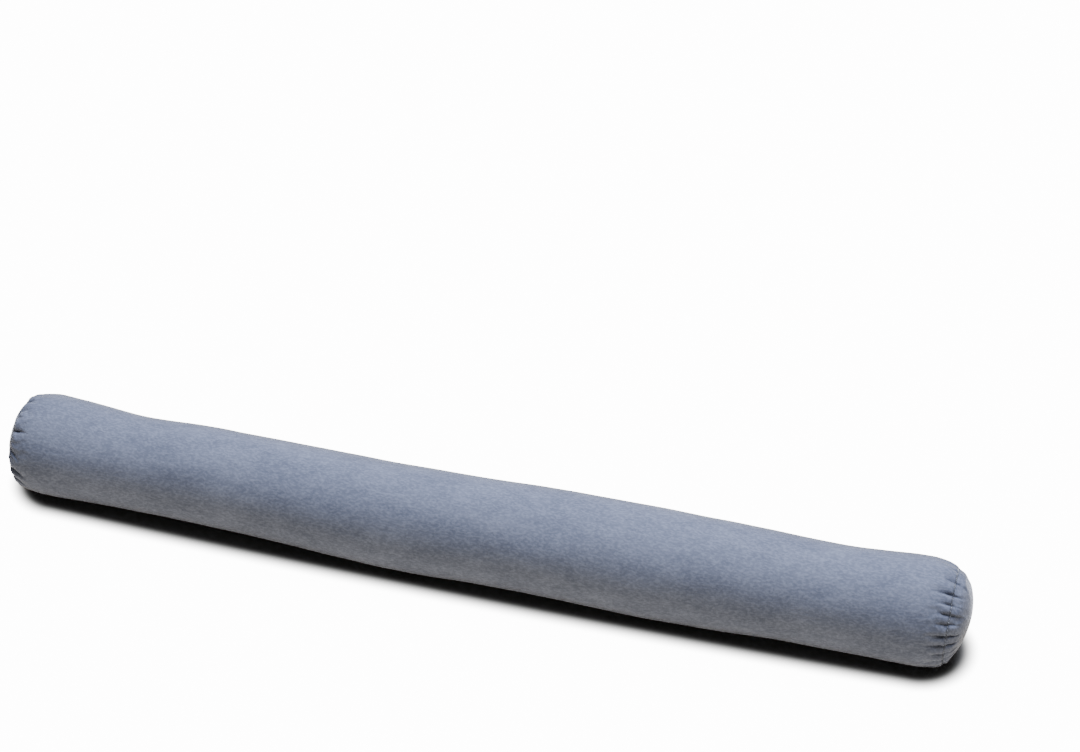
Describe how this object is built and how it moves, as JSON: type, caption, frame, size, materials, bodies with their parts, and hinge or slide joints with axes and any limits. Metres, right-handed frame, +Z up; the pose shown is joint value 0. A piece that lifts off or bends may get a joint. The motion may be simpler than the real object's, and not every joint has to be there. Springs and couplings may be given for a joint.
{
  "type": "draught excluder",
  "caption": "Long filled cloth bolster with gathered round end panels, laid along the foot of a door to stop draughts.",
  "frame": {"origin": "middle of the footprint, on the surface that the bolster rests on", "axes": "+X along the bolster from its left end to its right end, -Y towards its front, +Z up"},
  "size_m": [0.9, 0.1046, 0.0961],
  "materials": {
    "cloth": "matte"
  },
  "bodies": {
    "root": {"tube_panel": "cloth", "end_panel_left": "cloth", "end_panel_right": "cloth"}
  },
  "joints": []
}
